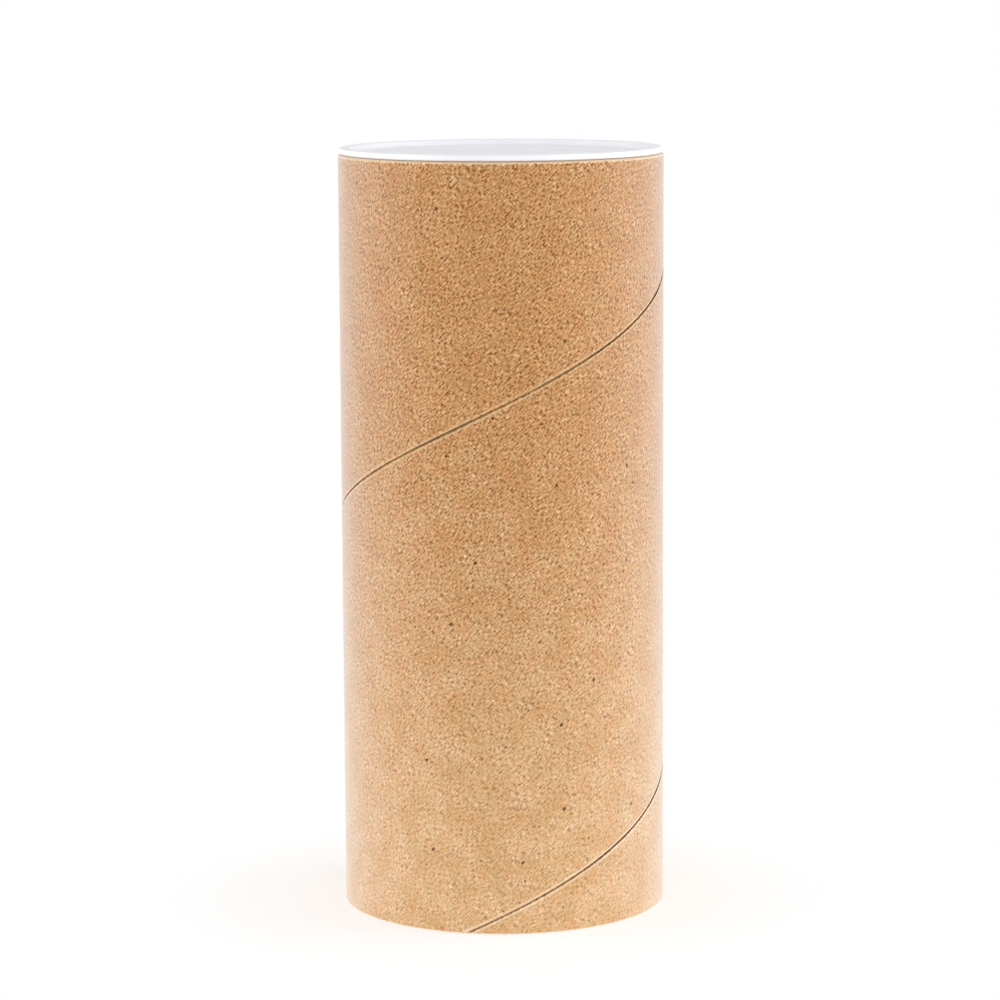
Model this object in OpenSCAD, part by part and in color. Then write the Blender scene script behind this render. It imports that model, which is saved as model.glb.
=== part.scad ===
// Kraft paper tube box: a spiral-wound board tube, a push-in plastic end cap
// and a board disc glued inside the foot.
// The origin is the centre of the foot, +Z runs up the tube and -Y is the front.

/* [Tube] */
// Outside diameter of the wound tube
tube_od = 75; // [50:0.5:150]
// Length of the tube between its two cut ends
tube_h = 175; // [60:1:400]
// Thickness of the wound wall
tube_wall = 1.5; // [1:0.1:4]
// Rounding of the outer edge at both cut ends
rim_round = 0.3; // [0.1:0.05:0.6]

/* [Winding] */
// Width of the paper strips that the wall is wound from
strip_w = 104.4; // [60:0.1:140]
// Thickness of one ply, which is the depth of the open seam
ply_t = 0.4; // [0.2:0.05:0.45]
// Gap between two turns of the outermost strip
seam_gap = 0.3; // [0.15:0.05:0.8]
// Height at which the outer seam crosses the front of the tube
seam_z = 4.4; // [0:0.1:60]
// Gap between two turns of the innermost strip
liner_gap = 0.3; // [0.15:0.05:0.8]
// Height at which the inner seam crosses the front of the tube
liner_z = 20; // [0:0.5:60]

/* [Base disc] */
// Thickness of the board disc in the foot
base_t = 2; // [1:0.1:4]
// Distance from the foot up to the disc's underside
base_inset = 3; // [1:0.5:10]
// Glue line between the disc's edge and the wall
glue_line = 0.1; // [0.05:0.05:0.3]

/* [End cap] */
// Thickness of the flange that rests on the rim
flange_t = 1.6; // [0.8:0.1:3]
// Distance by which the flange stops short of the tube's outer face
flange_inset = 0.3; // [0:0.05:0.6]
// Depth of the sunk panel below the top of the flange
panel_drop = 1.4; // [1:0.1:5]
// Thickness of the sunk panel
panel_t = 1; // [0.6:0.1:2]
// Length of the skirt that reaches down into the tube
skirt_h = 12; // [10:0.5:25]
// Thickness of the skirt's wall
skirt_wall = 0.8; // [0.6:0.1:2]
// Number of grip beads round the skirt
bead_count = 3; // [1:1:4]
// Distance by which each grip bead stands out of the skirt
bead_h = 0.35; // [0.2:0.05:0.5]
// Running clearance between the grip beads and the bore
bead_fit = 0.1; // [0.02:0.01:0.2]
// Taper at the skirt's lower end, which leads it into the bore
lead_in = 0.5; // [0.2:0.05:0.55]
// Rounding of the flange's edges
flange_round = 0.35; // [0.1:0.05:0.4]
// Fillet between the panel and the wall round it
panel_fillet = 0.6; // [0.2:0.1:0.9]

/* [Hidden] */

$fn = 144;
// Facets of the circles that small rounds and beads are cut from
round_fn = 32;
// Direction of the front, where the seam heights are measured
front_angle = -90;
// Flats in one turn of a seam slot, one to every two facets of the wall
slot_steps = $fn / 2;
// Distance by which a seam slot runs past the faces and ends that it opens
slot_overrun = 2;
// Distance by which a cut or a fillet runs past the faces that it meets
overlap = 0.1;
kraft_colour = [0.79, 0.60, 0.41];
board_colour = [0.70, 0.58, 0.44];
plastic_colour = [0.95, 0.95, 0.96];

tube_r = tube_od / 2;
bore_r = tube_r - tube_wall;
winding_angle = asin(strip_w / (PI * tube_od));
lead = strip_w / cos(winding_angle);

flange_r = tube_r - flange_inset;
bead_r = bore_r - bead_fit;
skirt_r = bead_r - bead_h;
recess_r = skirt_r - skirt_wall;
cap_top = tube_h + flange_t;
panel_top = cap_top - panel_drop;
skirt_foot = tube_h - skirt_h;
lead_in_h = 2 * lead_in;
bead_pitch = (skirt_h - lead_in_h) / (bead_count + 1);

// What is cut away to round a corner that stands at the origin and points along x_side and y_side.
// Inside a hollow corner the same shape is the fillet that fills it.
module corner_cut(r, x_side, y_side) {
    mirror([x_side > 0 ? 1 : 0, 0])
        mirror([0, y_side > 0 ? 1 : 0])
            difference() {
                translate([-overlap, -overlap])
                    square(r + overlap);
                translate([r, r])
                    circle(r, $fn = round_fn);
            }
}

// Half section of the wall, with the outer edges of both cut ends rounded
module wall_section() {
    difference() {
        translate([bore_r, 0])
            square([tube_wall, tube_h]);
        translate([tube_r, 0])
            corner_cut(rim_round, 1, -1);
        translate([tube_r, tube_h])
            corner_cut(rim_round, 1, 1);
    }
}

// The open butt joint between two turns of a wound strip: a slot swept along a helix.
// It lies between two radii and crosses the front of the tube at z_front.
module seam_slot(r_in, r_out, gap, z_front) {
    half_rise = gap / cos(winding_angle) / 2;
    first_step = floor((-slot_overrun - z_front) / lead * slot_steps);
    last_step = ceil((tube_h + slot_overrun - z_front) / lead * slot_steps);
    steps = last_step - first_step;
    corners = [[r_in, -half_rise], [r_out, -half_rise], [r_out, half_rise], [r_in, half_rise]];
    points = [
        for (i = [first_step:last_step])
            let (turn = i / slot_steps, angle = front_angle + 360 * turn)
                for (c = corners)
                    [c[0] * cos(angle), c[0] * sin(angle), z_front + lead * turn + c[1]]
    ];
    sides = [
        for (i = [0:steps - 1], j = [0:3])
            let (a = 4 * i + j, b = 4 * i + (j + 1) % 4)
                each [[a, b, a + 4], [b, b + 4, a + 4]]
    ];
    ends = [[3, 2, 1, 0], [for (j = [0:3]) 4 * steps + j]];
    polyhedron(points, concat(sides, ends));
}

// Tube wound from kraft strips: each turn of the strip butts against the last one,
// so an open seam climbs round the outer face, and another round the bore.
module tube() {
    color(kraft_colour)
        difference() {
            rotate_extrude()
                wall_section();
            seam_slot(tube_r - ply_t, tube_r + slot_overrun, seam_gap, seam_z);
            seam_slot(bore_r - slot_overrun, bore_r + ply_t, liner_gap, liner_z);
        }
}

// Half section of the cap: a flange on the rim, a skirt in the bore and a panel across the skirt
module cap_section() {
    difference() {
        union() {
            translate([recess_r, tube_h])
                square([flange_r - recess_r, flange_t]);
            translate([recess_r, skirt_foot])
                square([skirt_wall, skirt_h]);
            translate([0, panel_top - panel_t])
                square([recess_r, panel_t]);
            translate([recess_r, panel_top])
                corner_cut(min(panel_fillet, panel_drop - flange_round), 1, -1);
            for (i = [1:bead_count])
                translate([skirt_r, tube_h - i * bead_pitch])
                    circle(bead_h, $fn = round_fn);
        }
        translate([flange_r, tube_h])
            corner_cut(flange_round, 1, -1);
        translate([flange_r, cap_top])
            corner_cut(flange_round, 1, 1);
        translate([recess_r, cap_top])
            corner_cut(flange_round, -1, 1);
        polygon([
            [skirt_r - lead_in, skirt_foot - overlap],
            [skirt_r - lead_in, skirt_foot],
            [skirt_r, skirt_foot + lead_in_h],
            [skirt_r + overlap, skirt_foot + lead_in_h],
            [skirt_r + overlap, skirt_foot - overlap]
        ]);
    }
}

// Push-in cap, moulded in one piece
module end_cap() {
    color(plastic_colour)
        rotate_extrude()
            cap_section();
}

// Board disc glued inside the foot
module base_disc() {
    color(board_colour)
        translate([0, 0, base_inset])
            cylinder(h = base_t, r = bore_r - glue_line);
}

tube();
end_cap();
base_disc();
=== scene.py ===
"""Kraft paper tube box: a wound kraft tube, a push-in plastic cap and a board disc in the foot."""
import math

import bmesh
import bpy
from mathutils import Matrix, Vector, noise


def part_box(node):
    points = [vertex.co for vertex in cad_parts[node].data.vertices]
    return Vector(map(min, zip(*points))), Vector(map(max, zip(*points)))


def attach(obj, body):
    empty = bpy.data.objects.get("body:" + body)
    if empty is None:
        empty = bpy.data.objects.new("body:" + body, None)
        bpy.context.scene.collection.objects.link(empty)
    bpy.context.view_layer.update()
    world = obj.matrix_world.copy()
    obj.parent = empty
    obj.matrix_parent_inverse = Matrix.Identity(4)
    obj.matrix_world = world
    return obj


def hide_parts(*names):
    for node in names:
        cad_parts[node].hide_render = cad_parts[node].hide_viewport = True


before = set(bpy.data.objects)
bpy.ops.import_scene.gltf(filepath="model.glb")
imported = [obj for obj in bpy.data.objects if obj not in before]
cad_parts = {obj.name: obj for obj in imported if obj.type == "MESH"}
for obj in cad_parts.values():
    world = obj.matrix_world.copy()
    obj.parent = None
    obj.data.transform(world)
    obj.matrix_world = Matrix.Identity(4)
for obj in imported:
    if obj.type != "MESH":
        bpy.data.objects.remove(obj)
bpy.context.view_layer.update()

# The tube: strips of kraft paper, glued and wound on the slant round a mandrel, then cut to length.
# Each turn of the outer strip butts against the last, so a thin open seam climbs round the tube and
# the darker ply below shows in it. The bore has a seam of its own, and the cut ends show the plies.
MM = 0.001
tube_low, tube_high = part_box("tube")
tube_radius = (tube_high[0] - tube_low[0]) / 2
tube_height = tube_high[2] - tube_low[2]
wall_thickness = 1.5 * MM
bore_radius = tube_radius - wall_thickness
ply_thickness = 0.4 * MM
rim_rounding = 0.3 * MM
rim_steps = 4
strip_width = 104.4 * MM
winding_angle = math.asin(strip_width / (2 * math.pi * tube_radius))
lead = strip_width / math.cos(winding_angle)
outer_seam_height = 4.4 * MM
liner_seam_height = 20 * MM
seam_gap = 0.3 * MM
slit_edge_rounding = 0.08 * MM
steps_per_turn = 240
bands_across_strip = 30
weld_distance = 0.002 * MM
sharp_angle = math.radians(40)


def seam_place(point, seam_height):
    """Where a point lies on the winding: its angle from the front in turns, and its turns above the seam."""
    turn = math.atan2(point.x, -point.y) / (2 * math.pi)
    return turn, (point.z - seam_height) / lead - turn


def wander_seam(ply, seam_height, openings, seed):
    """Let the two slit edges along the seam wander, as paper does, so the gap opens and closes a little.

    openings lists places along the seam, in turns from the front, and how much wider the seam is there.
    """
    reach = 1.2 * MM
    opening_turns = 0.06
    upper_edge_offset = 0.5
    slow_wander, slow_length, slow_layer = 0.1 * MM, 26 * MM, 0
    quick_wander, quick_length, quick_layer = 0.05 * MM, 5 * MM, 9
    for vert in ply.verts:
        turn, rise = seam_place(vert.co, seam_height)
        nearest_seam = round(rise)
        above = (rise - nearest_seam) * lead
        if abs(above) > reach:
            continue
        turns_along = turn + nearest_seam
        along = 2 * math.pi * tube_radius * turns_along
        edge = seed + (upper_edge_offset if above > 0 else 0)
        opening = sum(
            wider * math.exp(-((turns_along - place) / opening_turns) ** 2) for place, wider in openings)
        shift = (math.copysign(opening / 2, above)
                 + slow_wander * noise.noise((along / slow_length, edge, slow_layer))
                 + quick_wander * noise.noise((along / quick_length, edge, quick_layer)))
        vert.co.z += shift * (1 - abs(above) / reach)


def wind_ply(radius, seam_height, depth, ends, openings, seed):
    """One ply wound up the tube from its section, cut off level at the two ends, with an open seam.

    depth is how far the seam goes in from the ply's face: positive on the outside, negative in the bore.
    """
    half_rise = seam_gap / math.cos(winding_angle) / 2
    lip = math.copysign(slit_edge_rounding, depth)
    face_start = half_rise + slit_edge_rounding
    section = [
        (radius - depth, 0),
        (radius - depth, half_rise),
        (radius - lip, half_rise),
        (radius, face_start),
        (radius, lead - face_start),
        (radius - lip, lead - half_rise),
        (radius - depth, lead - half_rise),
        (radius - depth, lead),
    ]
    spare_turns = 2
    turns = math.ceil(tube_height / lead) + spare_turns
    start = seam_height - spare_turns * lead
    ply = bmesh.new()
    corners = [ply.verts.new((0, -r, start + z)) for r, z in section]
    edges = [ply.edges.new(pair) for pair in zip(corners, corners[1:])]
    face_edge = edges[len(edges) // 2]
    bmesh.ops.subdivide_edges(ply, edges=[face_edge], cuts=bands_across_strip)
    bmesh.ops.spin(
        ply, geom=ply.verts[:] + ply.edges[:], cent=(0, 0, 0), axis=(0, 0, 1),
        dvec=(0, 0, lead / steps_per_turn), angle=2 * math.pi, steps=steps_per_turn)
    first_turn = ply.verts[:] + ply.edges[:] + ply.faces[:]
    for turn in range(1, turns):
        copied = bmesh.ops.duplicate(ply, geom=first_turn)["geom"]
        verts = [part for part in copied if isinstance(part, bmesh.types.BMVert)]
        bmesh.ops.translate(ply, verts=verts, vec=(0, 0, turn * lead))
    bmesh.ops.remove_doubles(ply, verts=ply.verts, dist=weld_distance)
    wander_seam(ply, seam_height, openings, seed)
    for level, outward in zip(ends, (-1, 1)):
        bmesh.ops.bisect_plane(
            ply, geom=ply.verts[:] + ply.edges[:] + ply.faces[:], dist=weld_distance,
            plane_co=(0, 0, level), plane_no=(0, 0, outward), clear_outer=True)
    return ply


def cut_ring(ply, level):
    """The open edges of a ply at one of its cut ends."""
    return [edge for edge in ply.edges
            if edge.is_boundary and all(abs(vert.co.z - level) < weld_distance for vert in edge.verts)]


def round_over(ply, level, outward):
    """Roll the outer ply's edge over at a cut end, in a quarter circle inwards and towards the end."""
    ring = cut_ring(ply, level)
    last_radius, last_rise = tube_radius, 0
    for step in range(1, rim_steps + 1):
        angle = math.pi / 2 * step / rim_steps
        next_radius = tube_radius - rim_rounding * (1 - math.cos(angle))
        next_rise = rim_rounding * math.sin(angle)
        grown = bmesh.ops.extrude_edge_only(ply, edges=ring)["geom"]
        verts = [part for part in grown if isinstance(part, bmesh.types.BMVert)]
        shrink = next_radius / last_radius
        bmesh.ops.scale(ply, verts=verts, vec=(shrink, shrink, 1))
        bmesh.ops.translate(ply, verts=verts, vec=(0, 0, outward * (next_rise - last_rise)))
        ring = [part for part in grown if isinstance(part, bmesh.types.BMEdge) and part.is_boundary]
        last_radius, last_rise = next_radius, next_rise


outer_ends = (rim_rounding, tube_height - rim_rounding)
# Where the outer seam gapes or closes, in turns from the front, and by how much
outer_openings = (
    (0.08, 0.08 * MM), (0.24, 0.9 * MM), (0.85, 0.12 * MM), (0.95, 0.2 * MM), (1.06, -0.2 * MM),
    (1.23, 0.6 * MM))
tube_bm = wind_ply(tube_radius, outer_seam_height, ply_thickness, outer_ends, outer_openings, seed=60)
for level, outward in zip(outer_ends, (-1, 1)):
    round_over(tube_bm, level, outward)
liner_bm = wind_ply(bore_radius, liner_seam_height, -ply_thickness, (0, tube_height), (), seed=7)
tube_mesh = bpy.data.meshes.new("wound_tube")
liner_bm.to_mesh(tube_mesh)
tube_bm.from_mesh(tube_mesh)
liner_bm.free()
for level, outward in ((0, -1), (tube_height, 1)):
    bmesh.ops.triangle_fill(tube_bm, edges=cut_ring(tube_bm, level), normal=(0, 0, outward), use_beauty=True)
bmesh.ops.recalc_face_normals(tube_bm, faces=tube_bm.faces)

KRAFT_FACE, SEAM_PLY, LINER_FACE, CUT_EDGE = range(4)
upright_below = 0.5
strip_layer = tube_bm.loops.layers.uv.new("strip")
for face in tube_bm.faces:
    centre = face.calc_center_median()
    centre_radius = math.hypot(centre.x, centre.y)
    in_bore = centre_radius < bore_radius + wall_thickness / 2
    if not rim_rounding <= centre.z <= tube_height - rim_rounding:
        upright = abs(face.normal.z) < upright_below
        face.material_index = LINER_FACE if in_bore and upright else CUT_EDGE
    elif abs(centre_radius - tube_radius) < slit_edge_rounding:
        face.material_index = KRAFT_FACE
    elif abs(centre_radius - bore_radius) < slit_edge_rounding:
        face.material_index = LINER_FACE
    else:
        face.material_index = SEAM_PLY
    # u runs along the wound strip and v across it, in metres, so the paper's grain follows the winding
    seam_height = liner_seam_height if in_bore else outer_seam_height
    face_turn, face_rise = seam_place(centre, seam_height)
    for loop in face.loops:
        turn, _ = seam_place(loop.vert.co, seam_height)
        turn += round(face_turn - turn) + math.floor(face_rise)
        around = 2 * math.pi * tube_radius * turn
        above = loop.vert.co.z - seam_height
        loop[strip_layer].uv = (
            around * math.cos(winding_angle) + above * math.sin(winding_angle),
            above * math.cos(winding_angle) - around * math.sin(winding_angle))
    face.smooth = True
tube_bm.to_mesh(tube_mesh)
tube_bm.free()
tube_mesh.set_sharp_from_angle(angle=sharp_angle)
tube = bpy.data.objects.new("wound_tube", tube_mesh)
bpy.context.scene.collection.objects.link(tube)


def display_colour(red, green, blue):
    """A colour given as it looks on a display, 0 to 255, as the linear colour that a shader takes."""
    linear = [v / 12.92 if v <= 0.04045 else ((v + 0.055) / 1.055) ** 2.4
              for v in (red / 255, green / 255, blue / 255)]
    return (*linear, 1)


def add_node(tree, kind, inputs=None, **settings):
    """A node with its settings, and with its inputs set to values or linked from other nodes' outputs."""
    node = tree.nodes.new(kind)
    for name, value in settings.items():
        setattr(node, name, value)
    for name, value in (inputs or {}).items():
        if isinstance(value, bpy.types.NodeSocket):
            tree.links.new(value, node.inputs[name])
        else:
            node.inputs[name].default_value = value
    return node


def maths(tree, operation, first, second=0.0, third=0.0):
    """The output of a Math node, not clamped."""
    node = add_node(tree, "ShaderNodeMath", {0: first, 1: second, 2: third}, operation=operation)
    return node.outputs[0]


def mix_colour(tree, factor, first, second, blend="MIX"):
    """The output of a Mix node between two colours."""
    # The node's colour sockets share their names with its other sockets, so they go by number
    node = add_node(
        tree, "ShaderNodeMix", {0: factor, 6: first, 7: second}, data_type="RGBA", blend_type=blend)
    return node.outputs[2]


def colour_ramp(tree, factor, stops):
    """The output of a Color Ramp with the given (position, colour) stops."""
    node = add_node(tree, "ShaderNodeValToRGB", {"Fac": factor})
    elements = node.color_ramp.elements
    while len(elements) < len(stops):
        elements.new(0.5)
    for element, (position, colour) in zip(elements, stops):
        element.position = position
        element.color = colour
    return node.outputs["Color"]


def smooth_range(tree, value, low, high, to_low=0.0, to_high=1.0):
    """The output of a Map Range node that runs smoothly from to_low to to_high, and no further."""
    node = add_node(
        tree, "ShaderNodeMapRange",
        {"Value": value, "From Min": low, "From Max": high, "To Min": to_low, "To Max": to_high},
        interpolation_type="SMOOTHSTEP")
    return node.outputs["Result"]


# Most of a noise texture's values lie between these two
noise_low, noise_high = 0.3, 0.7


def make_paper_fibre():
    """Node group for the fibres of unbleached paper, on a flat sheet whose coordinates are in millimetres.

    Tone is the sheet's light and dark, about 0.5; Fleck marks sparse dark specks; Relief is its height;
    Cloud and Blush vary from patch to patch, also about 0.5.
    """
    group = bpy.data.node_groups.new("paper_fibre", "ShaderNodeTree")
    for name, kind, default in (
            ("Sheet", "NodeSocketVector", None), ("Fibre Length", "NodeSocketFloat", 1.0),
            ("Fibre Width", "NodeSocketFloat", 0.4), ("Lean", "NodeSocketFloat", 0.0),
            ("Contrast", "NodeSocketFloat", 1.0)):
        socket = group.interface.new_socket(name, in_out="INPUT", socket_type=kind)
        if default is not None:
            socket.default_value = default
    for name in ("Tone", "Fleck", "Relief", "Cloud", "Blush"):
        group.interface.new_socket(name, in_out="OUTPUT", socket_type="NodeSocketFloat")
    given = add_node(group, "NodeGroupInput").outputs
    sheet = given["Sheet"]
    noise_roughness = 0.6

    def strands(turned, stretch):
        """Soft strands along the lean or turned from it, as long as the fibre times stretch, around 0."""
        rotation = add_node(group, "ShaderNodeCombineXYZ", {"Z": maths(group, "ADD", given["Lean"], turned)})
        size = add_node(group, "ShaderNodeCombineXYZ", {
            "X": maths(group, "MULTIPLY", given["Fibre Length"], stretch),
            "Y": given["Fibre Width"], "Z": 1.0})
        along = add_node(
            group, "ShaderNodeMapping",
            {"Vector": sheet, "Rotation": rotation.outputs[0], "Scale": size.outputs[0]},
            vector_type="TEXTURE").outputs[0]
        texture = add_node(
            group, "ShaderNodeTexNoise",
            {"Vector": along, "Scale": 1.0, "Detail": 0.5, "Roughness": noise_roughness},
            noise_dimensions="2D")
        return maths(group, "SUBTRACT", texture.outputs["Fac"], 0.5)

    def sheet_noise(scale, detail):
        """Plain noise on the sheet, for what varies from patch to patch."""
        return add_node(
            group, "ShaderNodeTexNoise",
            {"Vector": sheet, "Scale": scale, "Detail": detail, "Roughness": noise_roughness},
            noise_dimensions="2D").outputs["Fac"]

    def bold(strand):
        """Strands in which single fibres stand out from the rest, and more of them are dark than light."""
        boldness, darkness = 8.0, 1.9
        squared = maths(group, "MULTIPLY", strand, strand)
        swing = maths(group, "MULTIPLY", strand, maths(group, "MULTIPLY_ADD", squared, boldness, 1.0))
        return maths(group, "MULTIPLY_ADD", squared, -darkness, swing)

    crossing_share = 0.75
    middle_tone = 0.5
    lengthwise = strands(turned=0.0, stretch=1.0)
    crosswise = strands(turned=math.pi / 2, stretch=0.8)
    crossed = maths(group, "MULTIPLY_ADD", crosswise, crossing_share, lengthwise)
    swing = maths(group, "MULTIPLY_ADD", bold(crosswise), crossing_share, bold(lengthwise))
    patch = smooth_range(
        group, sheet_noise(scale=0.3, detail=1.0), noise_low, noise_high, to_low=0.8, to_high=1.2)
    swing = maths(group, "MULTIPLY", maths(group, "MULTIPLY", swing, patch), given["Contrast"])
    tone = maths(group, "ADD", swing, middle_tone)

    fleck_stretch = 1.5
    leaning = add_node(group, "ShaderNodeCombineXYZ", {"Z": given["Lean"]}).outputs[0]
    drawn_out = add_node(
        group, "ShaderNodeMapping",
        {"Vector": sheet, "Rotation": leaning, "Scale": (fleck_stretch, 1.0, 1.0)},
        vector_type="TEXTURE").outputs[0]

    def flecks(spacing, share, largest):
        """A mask of specks: their spacing, the share of places that have one, and their largest radius."""
        raggedness, soft_edge = 0.1, 0.06
        cells = add_node(
            group, "ShaderNodeTexVoronoi",
            {"Vector": drawn_out, "Scale": 1 / spacing, "Randomness": 1.0}, voronoi_dimensions="2D")
        chance = add_node(group, "ShaderNodeSeparateColor", {"Color": cells.outputs["Color"]})
        size = smooth_range(group, chance.outputs["Red"], 1 - share, 1.0, to_high=largest / spacing)
        ragged = maths(group, "MULTIPLY_ADD", crossed, raggedness / spacing, cells.outputs["Distance"])
        inside = maths(group, "SUBTRACT", size, ragged)
        return smooth_range(group, inside, 0.0, soft_edge / spacing)

    large_flecks = flecks(spacing=9.0, share=0.6, largest=0.36)
    small_flecks = flecks(spacing=3.0, share=0.06, largest=0.2)
    add_node(group, "NodeGroupOutput", {
        "Tone": tone, "Fleck": maths(group, "MAXIMUM", large_flecks, small_flecks), "Relief": crossed,
        "Cloud": sheet_noise(scale=0.14, detail=3.0), "Blush": sheet_noise(scale=0.25, detail=2.0)})
    return group


paper_fibre = make_paper_fibre()


def new_material(name, **constants):
    """A material with one Principled BSDF whose constant sockets are set, and that shader."""
    material = bpy.data.materials.new(name)
    material.use_nodes = True
    shader = material.node_tree.nodes["Principled BSDF"]
    for socket, value in constants.items():
        shader.inputs[socket.replace("_", " ")].default_value = value
    return material, material.node_tree, shader


def in_millimetres(tree, place):
    """A place that is given in metres, in millimetres."""
    return add_node(
        tree, "ShaderNodeVectorMath", {0: place, "Scale": 1 / MM}, operation="SCALE").outputs[0]


def sheet_millimetres(tree, layer):
    """The piece's UV map, turned from metres to millimetres of paper."""
    return in_millimetres(tree, add_node(tree, "ShaderNodeUVMap", uv_map=layer).outputs["UV"])


def add_relief(tree, shader, height, distance):
    """Bump on a shader's normal, from a height in the given distance."""
    bump = add_node(tree, "ShaderNodeBump", {"Height": height, "Distance": distance, "Strength": 1.0})
    tree.links.new(bump.outputs["Normal"], shader.inputs["Normal"])


kraft_lean = math.radians(19)
kraft_fibre = {"Fibre Length": 0.95, "Fibre Width": 0.35}
kraft_sheen, kraft_sheen_roughness = 0.85, 0.5
kraft_relief = 0.05 * MM
fleck_strength, fleck_colour = 0.95, display_colour(74, 28, 0)
bare_fibre_colour = display_colour(243, 216, 172)
# Painted light: towards the foot the kraft is made paler and its grain flatter, standing for light from the
# white table below; the height it fades out at, and how much grain contrast it takes away
painted_foot_light_reach, painted_foot_light_contrast_loss = 140 * MM, 0.48
# Bleached patches lift the blue of the brown paper most and its red least, and so does the painted light at
# the foot
cloud_bleach, painted_foot_light = (1.1, 1.2, 1.42, 1), (1.18, 1.45, 2.1, 1)
pink_blush = (1.05, 0.965, 0.92, 1)


def make_kraft(name, dark, middle, light, lean, contrast, edge_paleness, painted_foot_light_share):
    """Kraft paper on the strip's own coordinates: fibres, flecks, and paler fibres along the cut edges.

    edge_paleness is how far the slit and cut edges go towards bare fibres; the last argument is how much
    painted light makes the foot paler and its grain flatter.
    """
    material, tree, shader = new_material(
        name, IOR=1.45, Specular_IOR_Level=0.25, Sheen_Weight=kraft_sheen,
        Sheen_Roughness=kraft_sheen_roughness)
    sheet = sheet_millimetres(tree, "strip")
    place = add_node(tree, "ShaderNodeTexCoord").outputs["Object"]
    height = add_node(tree, "ShaderNodeSeparateXYZ", {"Vector": place}).outputs["Z"]
    # Painted light: the grain's contrast falls towards the foot
    foot_contrast = contrast * (1 - painted_foot_light_contrast_loss * painted_foot_light_share)
    contrast_here = smooth_range(tree, height, 0.0, painted_foot_light_reach, foot_contrast, contrast)
    fibre = add_node(
        tree, "ShaderNodeGroup",
        {"Sheet": sheet, "Lean": lean, "Contrast": contrast_here, **kraft_fibre},
        node_tree=paper_fibre).outputs
    colour = colour_ramp(tree, fibre["Tone"], [
        (0.0, display_colour(*dark)), (0.5, display_colour(*middle)), (1.0, display_colour(*light))])
    bleached = smooth_range(tree, fibre["Cloud"], noise_low, noise_high)
    colour = mix_colour(tree, bleached, colour, cloud_bleach, "MULTIPLY")
    blushing = smooth_range(tree, fibre["Blush"], noise_low, noise_high)
    colour = mix_colour(tree, blushing, colour, pink_blush, "MULTIPLY")
    slit_band_middle, slit_band_half = 0.55, 0.35
    across = add_node(tree, "ShaderNodeSeparateXYZ", {"Vector": sheet}).outputs["Y"]
    to_far_edge = maths(tree, "SUBTRACT", strip_width / MM, across)
    to_edge = maths(tree, "MINIMUM", across, to_far_edge)
    off_slit_band = maths(tree, "ABSOLUTE", maths(tree, "SUBTRACT", to_edge, slit_band_middle))
    slit_edge = smooth_range(tree, off_slit_band, 0.0, slit_band_half, edge_paleness, 0.0)
    cut_end_from, cut_end_to = tube_height - 0.65 * MM, tube_height - 0.35 * MM
    cut_end_raggedness, cut_end_share = 0.5 * MM, 2.5
    ragged_height = maths(tree, "MULTIPLY_ADD", fibre["Relief"], cut_end_raggedness, height)
    cut_end = smooth_range(
        tree, ragged_height, cut_end_from, cut_end_to, to_high=cut_end_share * edge_paleness)
    pale_edge = maths(tree, "MAXIMUM", slit_edge, cut_end)
    colour = mix_colour(tree, pale_edge, colour, bare_fibre_colour)
    # Painted light: the kraft is made paler towards the foot, as if lit from the table below
    painted_foot_light_mask = smooth_range(tree, height, 0.0, painted_foot_light_reach, painted_foot_light_share, 0.0)
    colour = mix_colour(tree, painted_foot_light_mask, colour, painted_foot_light, "MULTIPLY")
    fleck = maths(tree, "MULTIPLY", fibre["Fleck"], fleck_strength)
    colour = mix_colour(tree, fleck, colour, fleck_colour)
    tree.links.new(colour, shader.inputs["Base Color"])
    roughness = smooth_range(tree, fibre["Tone"], 0.0, 1.0, to_low=0.48, to_high=0.62)
    tree.links.new(roughness, shader.inputs["Roughness"])
    add_relief(tree, shader, fibre["Relief"], kraft_relief)
    return material


def make_seam_ply():
    """The ply under a strip, where it shows in the open seam, with painted shade on it.

    The painted shade darkens it on the right, where the seam is seen on the slant; it is also darker in a
    patch to the left of the middle.
    """
    material, tree, shader = new_material("seam_ply", Roughness=0.8, IOR=1.45, Specular_IOR_Level=0.15)
    fibre = add_node(
        tree, "ShaderNodeGroup",
        {"Sheet": sheet_millimetres(tree, "strip"), "Lean": kraft_lean, "Contrast": 1.0, **kraft_fibre},
        node_tree=paper_fibre).outputs
    colour = colour_ramp(tree, fibre["Tone"], [
        (0.0, display_colour(126, 92, 46)), (0.5, display_colour(180, 138, 80)),
        (1.0, display_colour(212, 174, 118))])
    place = add_node(tree, "ShaderNodeTexCoord").outputs["Object"]
    sideways = add_node(tree, "ShaderNodeSeparateXYZ", {"Vector": place}).outputs["X"]
    # Painted shade in the seam: darker on the right, and darker in a patch to the left of the middle
    seam_darkening = (0.45, 0.5, 0.6, 1)
    side_from, side_to = 12 * MM, 26 * MM
    patch_middle, patch_core, patch_reach, patch_strength = -13 * MM, 3 * MM, 12 * MM, 0.55
    painted_shade_right = smooth_range(tree, sideways, side_from, side_to)
    from_patch = maths(tree, "ABSOLUTE", maths(tree, "SUBTRACT", sideways, patch_middle))
    dark_patch = smooth_range(tree, from_patch, patch_core, patch_reach, patch_strength, 0.0)
    seam_darkening_mask = maths(tree, "MAXIMUM", painted_shade_right, dark_patch)
    colour = mix_colour(tree, seam_darkening_mask, colour, seam_darkening, "MULTIPLY")
    tree.links.new(colour, shader.inputs["Base Color"])
    add_relief(tree, shader, fibre["Relief"], kraft_relief)
    return material


def axis_distance(tree, place):
    """How far a point of a piece lies from the tube's axis."""
    flat = add_node(tree, "ShaderNodeVectorMath", {0: place, 1: (1, 1, 0)}, operation="MULTIPLY").outputs[0]
    return add_node(tree, "ShaderNodeVectorMath", {0: flat}, operation="LENGTH").outputs["Value"]


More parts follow.
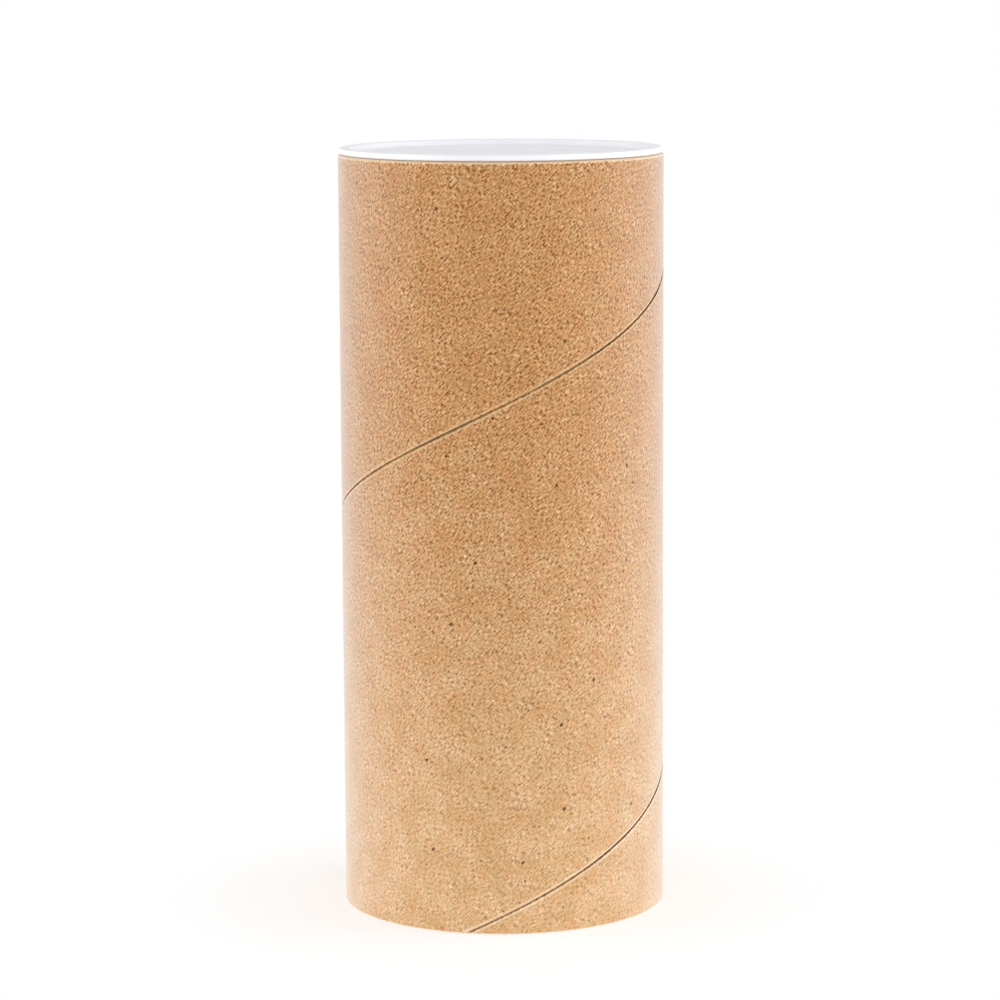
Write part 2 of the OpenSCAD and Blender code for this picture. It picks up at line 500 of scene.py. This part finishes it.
def make_cut_edge():
    """The cut ends of the wall: pale torn fibres, with a darker glue line between one ply and the next."""
    material, tree, shader = new_material("cut_paper", Roughness=0.85, IOR=1.45, Sheen_Weight=kraft_sheen)
    torn_depth = 0.12 * MM
    ply_wander = 0.35
    glue_core, glue_reach, glue_strength = 0.04, 0.16, 0.55
    place = add_node(tree, "ShaderNodeTexCoord").outputs["Object"]
    torn = add_node(
        tree, "ShaderNodeTexNoise",
        {"Vector": in_millimetres(tree, place), "Scale": 2.2, "Detail": 3.0}).outputs["Fac"]
    depth = maths(tree, "SUBTRACT", tube_radius, axis_distance(tree, place))
    plies = maths(tree, "DIVIDE", depth, ply_thickness)
    plies = maths(tree, "MULTIPLY_ADD", torn, ply_wander, plies)
    within_ply = maths(tree, "FRACT", plies)
    half_ply = 0.5
    to_glue = maths(tree, "PINGPONG", within_ply, half_ply)
    glue_line = smooth_range(tree, to_glue, glue_core, glue_reach, glue_strength, 0.0)
    paper = colour_ramp(tree, torn, [
        (0.25, display_colour(196, 152, 106)), (0.5, display_colour(222, 186, 142)),
        (0.8, display_colour(240, 214, 178))])
    colour = mix_colour(tree, glue_line, paper, display_colour(150, 112, 76))
    tree.links.new(colour, shader.inputs["Base Color"])
    add_relief(tree, shader, torn, torn_depth)
    return material


tube_mesh.materials.append(make_kraft(
    "kraft_paper", (118, 56, 0), (187, 135, 75), (229, 188, 136), kraft_lean, contrast=0.8,
    edge_paleness=0.35, painted_foot_light_share=1.0))
tube_mesh.materials.append(make_seam_ply())
tube_mesh.materials.append(make_kraft(
    "liner_paper", (160, 116, 70), (205, 162, 116), (240, 204, 164), -kraft_lean, contrast=1.0,
    edge_paleness=0.3, painted_foot_light_share=0.0))
tube_mesh.materials.append(make_cut_edge())
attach(tube, "tube_body")
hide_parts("tube")


# The disc: a round of grey board, die-cut and glued inside the foot, a little way up from the cut edge.
# The die leaves both its edges a little rounded over.
disc_low, disc_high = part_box("base_disc")
disc_radius = (disc_high[0] - disc_low[0]) / 2
disc_edge_rounding = 0.35 * MM
disc_steps = 144


def section_line(bm, points):
    """Corners of a half section at the given radii and heights, joined by edges from each to the next."""
    corners = [bm.verts.new((r, 0, z)) for r, z in points]
    for pair in zip(corners, corners[1:]):
        bm.edges.new(pair)
    return corners


disc_bm = bmesh.new()
disc_corners = section_line(
    disc_bm,
    [(0, disc_low[2]), (disc_radius, disc_low[2]), (disc_radius, disc_high[2]), (0, disc_high[2])])
rim_corners = disc_corners[1:3]
bmesh.ops.bevel(
    disc_bm, geom=rim_corners, offset=disc_edge_rounding, affect="VERTICES",
    segments=4, profile=0.5, material=-1)


def spin_full(bm, steps):
    """Turn a half section once round the tube's axis into a closed, outward-facing shape."""
    bmesh.ops.spin(
        bm, geom=bm.verts[:] + bm.edges[:], cent=(0, 0, 0), axis=(0, 0, 1),
        angle=2 * math.pi, steps=steps, use_merge=True)
    bmesh.ops.remove_doubles(bm, verts=bm.verts, dist=weld_distance)
    bmesh.ops.recalc_face_normals(bm, faces=bm.faces)


def link_smooth(name, bm):
    """Make an object of a bmesh, shaded smooth but for its sharp edges."""
    for face in bm.faces:
        face.smooth = True
    mesh = bpy.data.meshes.new(name)
    bm.to_mesh(mesh)
    bm.free()
    mesh.set_sharp_from_angle(angle=sharp_angle)
    piece = bpy.data.objects.new(name, mesh)
    bpy.context.scene.collection.objects.link(piece)
    return piece


spin_full(disc_bm, disc_steps)
disc = link_smooth("foot_disc", disc_bm)


def make_board():
    """Grey board pressed from recycled paper, with long fibres and dark flecks in it."""
    material, tree, shader = new_material("grey_board", Roughness=0.9, IOR=1.45, Sheen_Weight=kraft_sheen)
    board_fleck_strength, board_relief = 0.8, 0.08 * MM
    sheet = in_millimetres(tree, add_node(tree, "ShaderNodeTexCoord").outputs["Object"])
    fibre = add_node(
        tree, "ShaderNodeGroup",
        {"Sheet": sheet, "Lean": 0.4, "Contrast": 1.2, "Fibre Length": 1.6, "Fibre Width": 0.5},
        node_tree=paper_fibre).outputs
    colour = colour_ramp(tree, fibre["Tone"], [
        (0.0, display_colour(138, 114, 88)), (0.5, display_colour(178, 152, 122)),
        (1.0, display_colour(212, 190, 160))])
    fleck = maths(tree, "MULTIPLY", fibre["Fleck"], board_fleck_strength)
    colour = mix_colour(tree, fleck, colour, display_colour(86, 74, 64))
    tree.links.new(colour, shader.inputs["Base Color"])
    add_relief(tree, shader, fibre["Relief"], board_relief)
    return material


disc.data.materials.append(make_board())
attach(disc, "tube_body")
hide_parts("base_disc")


# The cap: one moulding in soft white plastic, pushed into the tube by hand. Its flange rests on the rim,
# its skirt goes down into the bore with three grip beads round it, and its panel is sunk inside the flange.
# The mould leaves small rounds at every edge and a gate mark under the panel.
cap_low, cap_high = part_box("end_cap")
flange_radius = (cap_high[0] - cap_low[0]) / 2
cap_top = cap_high[2]
skirt_foot = cap_low[2]
flange_round = 0.35 * MM
flange_seat_radius, flange_undercut = 36.4 * MM, 0.3 * MM
bead_height, bead_clearance = 0.35 * MM, 0.1 * MM
bead_radius = bore_radius - bead_clearance
skirt_radius = bead_radius - bead_height
skirt_wall = 0.8 * MM
recess_radius = skirt_radius - skirt_wall
panel_drop, panel_thickness = 1.4 * MM, 1.0 * MM
panel_top = cap_top - panel_drop
panel_underside = panel_top - panel_thickness
lead_in, lead_in_height = 0.5 * MM, 1.0 * MM
bead_count = 3
bead_pitch = (tube_height - skirt_foot - lead_in_height) / (bead_count + 1)
panel_fillet, under_fillet, corner_round = 0.6 * MM, 0.3 * MM, 0.12 * MM
gate_radius, gate_depth = 3.0 * MM, 0.25 * MM
cap_steps, panel_rings = 192, 24

bead_points = []
for bead in range(1, bead_count + 1):
    bead_z = tube_height - bead * bead_pitch
    bead_points += [
        (skirt_radius, bead_z + bead_height), (bead_radius, bead_z + bead_height),
        (bead_radius, bead_z - bead_height), (skirt_radius, bead_z - bead_height)]
cap_points = [
    (0, panel_top),
    (recess_radius, panel_top),
    (recess_radius, cap_top),
    (flange_radius, cap_top),
    (flange_radius, tube_height + flange_undercut),
    (flange_seat_radius, tube_height),
    (skirt_radius, tube_height),
    *bead_points,
    (skirt_radius, skirt_foot + lead_in_height),
    (skirt_radius - lead_in, skirt_foot),
    (recess_radius, skirt_foot),
    (recess_radius, panel_underside),
    (gate_radius, panel_underside),
    (gate_radius - gate_depth, panel_underside + gate_depth),
    (0, panel_underside + gate_depth),
]
cap_bm = bmesh.new()
cap_corners = section_line(cap_bm, cap_points)
panel_corner, flange_corners = cap_corners[1:2], cap_corners[2:5]
skirt_end_corners, under_panel_corner = cap_corners[-7:-4], cap_corners[-4:-3]
bead_tips = [corner for corner in cap_corners if abs(corner.co.x - bead_radius) < weld_distance]
for corners, offset, segments in (
        (panel_corner, panel_fillet, 6), (flange_corners, flange_round, 6), (bead_tips, bead_height, 5),
        (under_panel_corner, under_fillet, 4), (skirt_end_corners, corner_round, 3)):
    bmesh.ops.bevel(
        cap_bm, geom=corners, offset=offset, affect="VERTICES", segments=segments, profile=0.5, material=-1)
panel_edges = [edge for edge in cap_bm.edges
               if all(abs(vert.co.z - panel_top) < weld_distance for vert in edge.verts)]
bmesh.ops.subdivide_edges(cap_bm, edges=panel_edges, cuts=panel_rings)
spin_full(cap_bm, cap_steps)
cap = link_smooth("push_in_cap", cap_bm)


def make_cap_plastic():
    """Soft white moulded plastic: satin, with faint flow marks from the gate and a slight orange peel.

    The panel and skirt get painted shade, greyer than the flange, standing for the dark inside of the box
    seen through the thin plastic.
    """
    material, tree, shader = new_material("cap_plastic", IOR=1.5)
    # Painted shade on the panel and the skirt
    panel_painted_shade, skirt_painted_shade = (0.95, 0.95, 0.955, 1), (0.85, 0.85, 0.86, 1)
    skirt_from = tube_height - 2 * MM
    peel_depth = 0.02 * MM
    place = add_node(tree, "ShaderNodeTexCoord").outputs["Object"]
    millimetres = in_millimetres(tree, place)
    flow = add_node(
        tree, "ShaderNodeTexNoise", {"Vector": millimetres, "Scale": 0.09, "Detail": 2.0}).outputs["Fac"]
    peel = add_node(
        tree, "ShaderNodeTexNoise", {"Vector": millimetres, "Scale": 0.8, "Detail": 2.0}).outputs["Fac"]
    colour = colour_ramp(tree, flow, [
        (noise_low, display_colour(244, 243, 248)), (noise_high, display_colour(248, 248, 251))])
    on_panel = smooth_range(
        tree, axis_distance(tree, place), recess_radius - panel_fillet, recess_radius, 1.0, 0.0)
    colour = mix_colour(tree, on_panel, colour, panel_painted_shade, "MULTIPLY")
    height = add_node(tree, "ShaderNodeSeparateXYZ", {"Vector": place}).outputs["Z"]
    on_skirt = smooth_range(tree, height, skirt_from, tube_height, 1.0, 0.0)
    colour = mix_colour(tree, on_skirt, colour, skirt_painted_shade, "MULTIPLY")
    tree.links.new(colour, shader.inputs["Base Color"])
    roughness = smooth_range(tree, peel, noise_low, noise_high, to_low=0.42, to_high=0.54)
    tree.links.new(roughness, shader.inputs["Roughness"])
    add_relief(tree, shader, peel, peel_depth)
    return material


cap.data.materials.append(make_cap_plastic())
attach(cap, "cap")
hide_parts("end_cap")


# The floor: a white table, lit through its top round the box, so the light comes up from near the foot.
# Looked at directly it is white, and it keeps a faint soft shadow round the foot.
floor_reach = 30.0
white_share_near, white_share_far = 0.4, 1.0
shadow_from, shadow_to = 0.04, 0.085
floor_colour = (0.85, 0.85, 0.85, 1)
floor_colour_seen = (1.1, 1.1, 1.1, 1)
table_glow, glow_from, glow_to = 0.47, 0.05, 0.5

floor_bm = bmesh.new()
bmesh.ops.create_grid(floor_bm, x_segments=1, y_segments=1, size=floor_reach)
floor = link_smooth("floor", floor_bm)
floor_material, floor_tree, floor_shader = new_material(
    "white_floor", Roughness=1.0, Specular_IOR_Level=0.0, Emission_Color=(1, 1, 1, 1))


def seen_directly(tree):
    """1 where the camera sees a surface or the sky, also reflected or through glass, and 0 elsewhere."""
    path = add_node(tree, "ShaderNodeLightPath").outputs
    seen = maths(tree, "MAXIMUM", path["Is Camera Ray"], path["Is Glossy Ray"])
    return maths(tree, "MAXIMUM", seen, path["Is Transmission Ray"])


floor_seen = seen_directly(floor_tree)
floor_tree.links.new(
    mix_colour(floor_tree, floor_seen, floor_colour, floor_colour_seen), floor_shader.inputs["Base Color"])
from_box = add_node(floor_tree, "ShaderNodeVectorMath", {
    0: add_node(floor_tree, "ShaderNodeTexCoord").outputs["Object"]}, operation="LENGTH").outputs["Value"]
glow = smooth_range(floor_tree, from_box, glow_from, glow_to, table_glow, 0.0)
unseen = maths(floor_tree, "SUBTRACT", 1.0, floor_seen)
floor_tree.links.new(maths(floor_tree, "MULTIPLY", glow, unseen), floor_shader.inputs["Emission Strength"])
white_share = smooth_range(floor_tree, from_box, shadow_from, shadow_to, white_share_near, white_share_far)
white_glow = add_node(floor_tree, "ShaderNodeEmission", {"Color": (1, 1, 1, 1), "Strength": 1.0})
floor_mix = add_node(floor_tree, "ShaderNodeMixShader", {
    0: maths(floor_tree, "MULTIPLY", floor_seen, white_share),
    1: floor_shader.outputs["BSDF"], 2: white_glow.outputs["Emission"]})
floor_tree.links.new(floor_mix.outputs[0], floor_tree.nodes["Material Output"].inputs["Surface"])
floor.data.materials.append(floor_material)


# The light: a white tent all round, brighter overhead than at the sides, with a wide softbox behind the
# camera and a square one on each side of the box.
tent_side, tent_overhead = 0.54, 0.74
fully_overhead = 0.8
world = bpy.data.worlds.new("light_tent")
world.use_nodes = True
bpy.context.scene.world = world
tent = world.node_tree
looking = add_node(tent, "ShaderNodeTexCoord").outputs["Generated"]
upward = add_node(tent, "ShaderNodeSeparateXYZ", {"Vector": looking}).outputs["Z"]
tent_light = smooth_range(tent, upward, 0.0, fully_overhead, tent_side, tent_overhead)
white_left = maths(tent, "SUBTRACT", 1.0, tent_light)
strength = maths(tent, "MULTIPLY_ADD", seen_directly(tent), white_left, tent_light)
background = tent.nodes["Background"]
background.inputs["Color"].default_value = (1, 1, 1, 1)
tent.links.new(strength, background.inputs["Strength"])


def add_softbox(name, place, aim, width, height, watts):
    """A rectangular softbox at a place, facing the point that it is aimed at, and unseen by the camera."""
    light = bpy.data.lights.new(name, "AREA")
    light.shape = "RECTANGLE"
    light.size, light.size_y = width, height
    light.energy = watts
    softbox = bpy.data.objects.new(name, light)
    softbox.location = place
    softbox.rotation_euler = (Vector(aim) - Vector(place)).to_track_quat("-Z", "Y").to_euler()
    softbox.visible_camera = False
    bpy.context.scene.collection.objects.link(softbox)


box_middle, box_shoulder = (0, 0, tube_height / 2), (0, 0, 0.15)
add_softbox("front_softbox", (0, -1.35, 0.42), box_shoulder, width=1.0, height=0.5, watts=3.6)
add_softbox("left_softbox", (-0.6, 0.0, 0.14), box_middle, width=0.5, height=0.5, watts=1.6)
add_softbox("right_softbox", (0.6, 0.0, 0.18), box_middle, width=0.5, height=0.5, watts=2.0)


# The camera: a long lens, a little above the box and looking down at it.
camera_data = bpy.data.cameras.new("camera")
camera_data.sensor_width = 36
camera_data.lens = 132.1
camera_data.shift_x = -0.0025
camera = bpy.data.objects.new("camera", camera_data)
camera_place = (0, -0.8479, 0.2198)
camera_pitch, camera_roll = math.radians(8.421), math.radians(-0.3)
camera.matrix_world = (
    Matrix.Translation(camera_place)
    @ Matrix.Rotation(math.pi / 2 - camera_pitch, 4, "X")
    @ Matrix.Rotation(camera_roll, 4, "Z"))
bpy.context.scene.collection.objects.link(camera)
bpy.context.scene.camera = camera
bpy.context.scene.view_settings.view_transform = "Standard"
